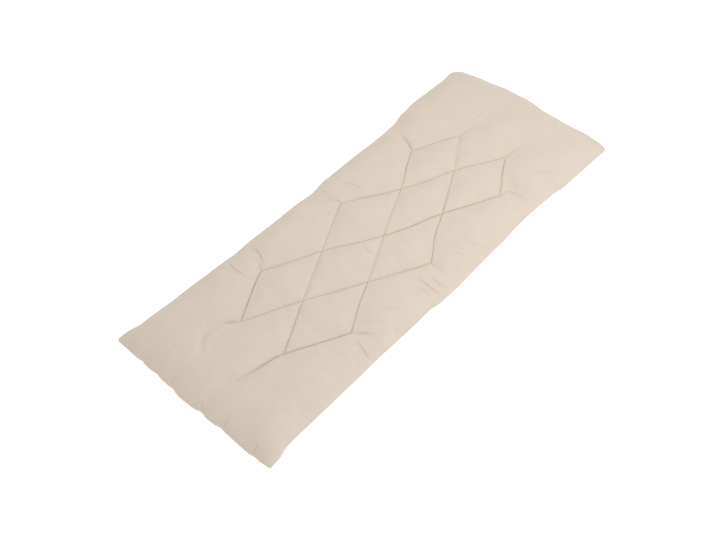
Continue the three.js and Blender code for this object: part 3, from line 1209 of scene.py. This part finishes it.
def thread_material(sewing):
    """Two-ply sewing thread, whose twist runs round each stitch."""
    bench = NodeBench("sewing_thread")
    place = bench.node("ShaderNodeUVMap", {"uv_map": "UVMap"})
    split = bench.node("ShaderNodeSeparateXYZ", None, {0: place})
    around, along = TWIST_TURNS
    turns = split * around + split.other("Y") * along
    twist = (turns * (2 * math.pi)).maths("SINE") * 0.5 + 0.5
    # Painted shade in the twist's hollows and painted light on its crowns, following its relief
    base = bench.mix(twist, shaded(sewing.thread, TWIST_HOLLOW_SHADE), shaded(sewing.thread, TWIST_CROWN_LIGHT))
    return bench.finish(twist * (TWIST_RELIEF * MM), base, 0.7 + twist * 0.1, Sheen_Weight=0.1)


class SCENE_OT_light_cradle_studio(bpy.types.Operator):
    """Lays the pale floor, lights the studio and stands the camera at the photo's angle"""

    bl_idname = "scene.light_cradle_studio"
    bl_label = "Set Up Studio"
    bl_options = {"REGISTER", "UNDO"}

    def execute(self, context):
        settings = context.scene.cradle_stage
        self.lay_floor(settings)
        self.light(context.scene, settings)
        self.stand_camera(context.scene)
        return {"FINISHED"}

    @staticmethod
    def lay_floor(settings):
        """A plain floor that glows a little, so that its shadows stay faint."""
        deselect_all()
        bpy.ops.mesh.primitive_plane_add(size=FLOOR_WIDTH)
        floor = bpy.context.object
        floor.name = floor.data.name = "studio_floor"
        paint = bpy.data.materials.new("studio_floor")
        paint.use_nodes = True
        shader = paint.node_tree.nodes["Principled BSDF"]
        shader.inputs["Base Color"].default_value = (*settings.floor, 1)
        shader.inputs["Roughness"].default_value = 1
        shader.inputs["Specular IOR Level"].default_value = 0
        shader.inputs["Emission Color"].default_value = (1, 1, 1, 1)
        shader.inputs["Emission Strength"].default_value = settings.glow
        floor.data.materials.append(paint)

    @staticmethod
    def light(scene, settings):
        """Even light from all round and two softboxes that are aimed at the pad."""
        scene.view_settings.view_transform = "Standard"
        scene.world = bpy.data.worlds.new("studio_light")
        scene.world.use_nodes = True
        sky = scene.world.node_tree.nodes["Background"]
        sky.inputs["Color"].default_value = (1, 1, 1, 1)
        sky.inputs["Strength"].default_value = settings.sky_strength
        lamps = (
            ("overhead_softbox", OVERHEAD_SOFTBOX, settings.overhead_power),
            ("side_softbox", SIDE_SOFTBOX, settings.side_power),
        )
        for name, (place, wide), power in lamps:
            deselect_all()
            bpy.ops.object.light_add(type="AREA", location=place)
            lamp = bpy.context.object
            lamp.name = lamp.data.name = name
            lamp.data.size, lamp.data.energy = wide, power
            lamp.visible_camera = False
            lamp.rotation_euler = (-lamp.location).to_track_quat("-Z", "Y").to_euler()

    @staticmethod
    def stand_camera(scene):
        """The camera at the photo's angle, looking back along its own line of sight."""
        around, above = math.radians(CAMERA_AZIMUTH), math.radians(CAMERA_ELEVATION)
        back = Vector((
            math.sin(around) * math.cos(above),
            -math.cos(around) * math.cos(above),
            math.sin(above),
        ))
        right = Vector((0, 0, 1)).cross(back).normalized()
        turned = Matrix((right, back.cross(right), back)).transposed()
        turned = turned @ Matrix.Rotation(math.radians(CAMERA_ROLL), 3, "Z")
        lens = bpy.data.cameras.new("studio_camera")
        lens.sensor_width, lens.lens = FILM_WIDTH, CAMERA_LENS
        lens.clip_start, lens.clip_end = CAMERA_SIGHT
        camera = bpy.data.objects.new("studio_camera", lens)
        camera.matrix_world = Matrix.Translation(CAMERA_PLACE) @ turned.to_4x4()
        scene.collection.objects.link(camera)
        scene.camera = camera


class VIEW3D_PT_cradle_mattress(bpy.types.Panel):
    """Sizes, colours and steps of the quilted cradle mattress"""

    bl_idname = "VIEW3D_PT_cradle_mattress"
    bl_label = "Quilted Cradle Mattress"
    bl_space_type = "VIEW_3D"
    bl_region_type = "UI"
    bl_category = "Cradle Mattress"

    def draw(self, context):
        steps = (
            ("cradle_cover", OBJECT_OT_sew_cradle_cover),
            ("cradle_quilting", OBJECT_OT_stitch_cradle_quilting),
            ("cradle_stage", SCENE_OT_light_cradle_studio),
        )
        for name, operator in steps:
            settings = getattr(context.scene, name)
            box = self.layout.box()
            for field in settings.__annotations__:
                box.prop(settings, field)
            box.operator(operator.bl_idname)


SETTINGS = {
    "cradle_cover": CradleCoverSettings,
    "cradle_quilting": CradleQuiltingSettings,
    "cradle_stage": CradleStageSettings,
}
CLASSES = (
    *SETTINGS.values(),
    OBJECT_OT_sew_cradle_cover,
    OBJECT_OT_stitch_cradle_quilting,
    SCENE_OT_light_cradle_studio,
    VIEW3D_PT_cradle_mattress,
)


def register():
    for part in CLASSES:
        bpy.utils.register_class(part)
    for name, settings in SETTINGS.items():
        setattr(bpy.types.Scene, name, bpy.props.PointerProperty(type=settings))


def unregister():
    for name in SETTINGS:
        delattr(bpy.types.Scene, name)
    for part in reversed(CLASSES):
        bpy.utils.unregister_class(part)


def main():
    """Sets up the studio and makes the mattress."""
    register()
    bpy.ops.scene.light_cradle_studio()
    bpy.ops.object.sew_cradle_cover()
    bpy.ops.object.stitch_cradle_quilting()


if __name__ == "__main__":
    main()
